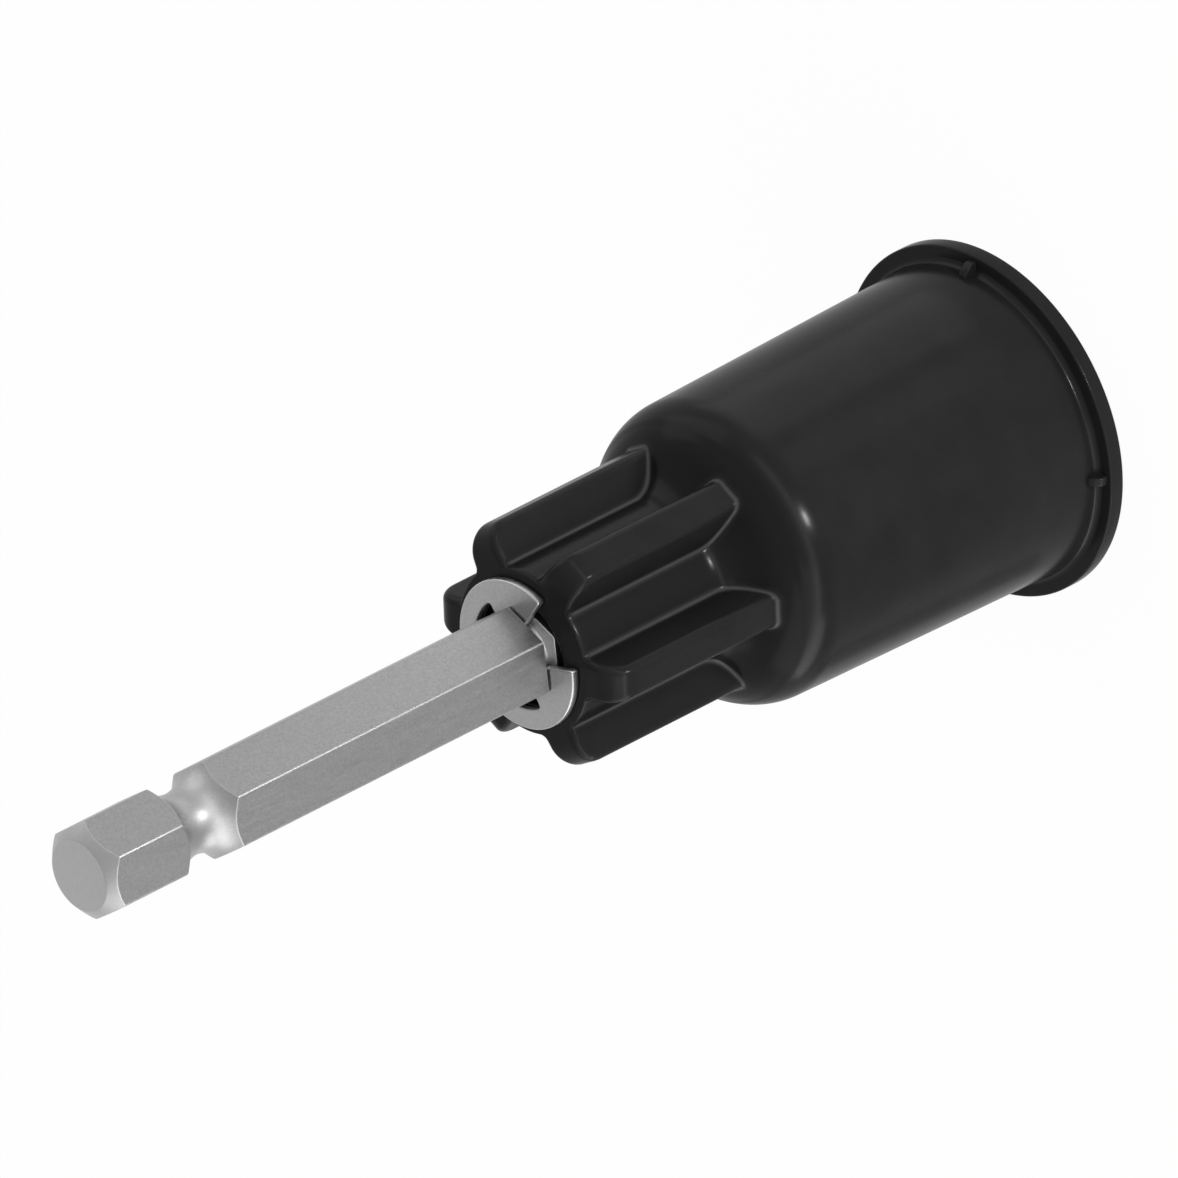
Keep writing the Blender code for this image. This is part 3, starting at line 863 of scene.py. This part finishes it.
def add_lamp(name, azimuth, distance, height, size, radiance):
    """A soft box that faces the tool. Its power is worked out from the radiance of its face."""
    data = bpy.data.lights.new(name, "AREA")
    data.shape = "RECTANGLE"
    data.size, data.size_y = (side * MM for side in size)
    data.energy = radiance * math.pi * data.size * data.size_y
    lamp = bpy.data.objects.new(name, data)
    bpy.context.scene.collection.objects.link(lamp)
    turn = math.radians(azimuth)
    lamp.location = Vector((distance * math.cos(turn), distance * math.sin(turn), height)) * MM
    lamp.rotation_mode = "QUATERNION"
    lamp.rotation_quaternion = (Vector((0.0, 0.0, AIM_HEIGHT * MM)) - lamp.location).to_track_quat("-Z", "Y")
    lamp.visible_camera = False


def make_world():
    """A soft sky that is brighter towards the horizon, with a low glow on the tool's front side."""
    world = bpy.data.worlds.new("studio")
    bpy.context.scene.world = world
    world.use_nodes = True
    tree = world.node_tree
    place = add_node(tree, "ShaderNodeTexCoord").outputs["Generated"]
    direction = add_node(tree, "ShaderNodeSeparateXYZ", {"Vector": place}).outputs
    height = direction["Z"]
    values = {"Value": height, "To Min": SKY_HORIZON, "To Max": SKY_ZENITH}
    sky = add_node(tree, "ShaderNodeMapRange", values).outputs["Result"]
    values = {"Value": height, "From Max": SKY_GLOW_TOP, "To Min": SKY_GLOW, "To Max": 0.0}
    glow = add_node(tree, "ShaderNodeMapRange", values).outputs["Result"]
    values = {"Value": direction["X"], "From Min": SKY_GLOW_SIDES[0], "From Max": SKY_GLOW_SIDES[1]}
    front = add_node(tree, "ShaderNodeMapRange", values).outputs["Result"]
    level = compute(tree, "MULTIPLY_ADD", glow, front, sky)
    fill(tree, tree.nodes["Background"], {"Color": neutral(1.0), "Strength": level})


def floor_material():
    """White to the camera, mirrors and glass, and a lit pale surface otherwise, which keeps soft shadows."""
    made, tree, _ = new_material("pale_floor")
    tree.nodes.remove(tree.nodes["Principled BSDF"])
    path = add_node(tree, "ShaderNodeLightPath").outputs
    mirrored = compute(tree, "MAXIMUM", path["Is Glossy Ray"], path["Is Transmission Ray"])
    seen = compute(tree, "MAXIMUM", path["Is Camera Ray"], mirrored)
    share = compute(tree, "MULTIPLY", seen, FLOOR_WHITE)
    lit = add_node(tree, "ShaderNodeBsdfDiffuse", {"Color": neutral(FLOOR_GREY)}).outputs["BSDF"]
    values = {"Color": neutral(1.0), "Strength": 1.0}
    white = add_node(tree, "ShaderNodeEmission", values).outputs["Emission"]
    mix = add_node(tree, "ShaderNodeMixShader", {0: share, 1: lit, 2: white}).outputs["Shader"]
    fill(tree, tree.nodes["Material Output"], {"Surface": mix})
    return made


def make_floor():
    """A wide floor just under the cup's rim."""
    mesh = bpy.data.meshes.new("floor")
    shape = bmesh.new()
    bmesh.ops.create_grid(shape, x_segments=1, y_segments=1, size=FLOOR_HALF * MM)
    shape.to_mesh(mesh)
    shape.free()
    floor = bpy.data.objects.new("floor", mesh)
    bpy.context.scene.collection.objects.link(floor)
    floor.location.z = -FLOOR_GAP * MM
    mesh.materials.append(floor_material())


def make_card(name, strength, corners):
    """A card on the floor that the camera doesn't see, for the tool's sides to reflect."""
    mesh = bpy.data.meshes.new(name)
    mesh.from_pydata([(x * MM, y * MM, -FLOOR_GAP / 2 * MM) for x, y in corners], [], [range(len(corners))])
    card = bpy.data.objects.new(name, mesh)
    bpy.context.scene.collection.objects.link(card)
    made, tree, _ = new_material(name)
    tree.nodes.remove(tree.nodes["Principled BSDF"])
    glow = add_node(tree, "ShaderNodeEmission", {"Strength": strength}).outputs["Emission"]
    fill(tree, tree.nodes["Material Output"], {"Surface": glow})
    mesh.materials.append(made)
    card.visible_camera = False
    card.visible_diffuse = False
    card.visible_shadow = False


def make_studio():
    """The sky, the floor with its cards, and the lamps around the tool."""
    make_world()
    make_floor()
    for name, (strength, corners) in CARDS.items():
        make_card(name, strength, corners)
    for name, settings in LAMPS.items():
        add_lamp(name, *settings)


def main():
    bpy.context.scene.view_settings.view_transform = "Standard"
    plastic = plastic_material()
    steel = bit_material()
    spring = steel_material("spring_clip_steel", CLIP_GREYS, CLIP_ROUGHNESS)
    make_cup(plastic)
    make_gussets(plastic)
    make_bit(steel)
    make_clip("front_clip", "outer_clip", OUTER_CLIP, REST_TURN, spring)
    make_clip("back_clip", "inner_clip", INNER_CLIP, REST_TURN + BACK_CLIP_TURN, spring)
    make_studio()
    make_camera()


main()
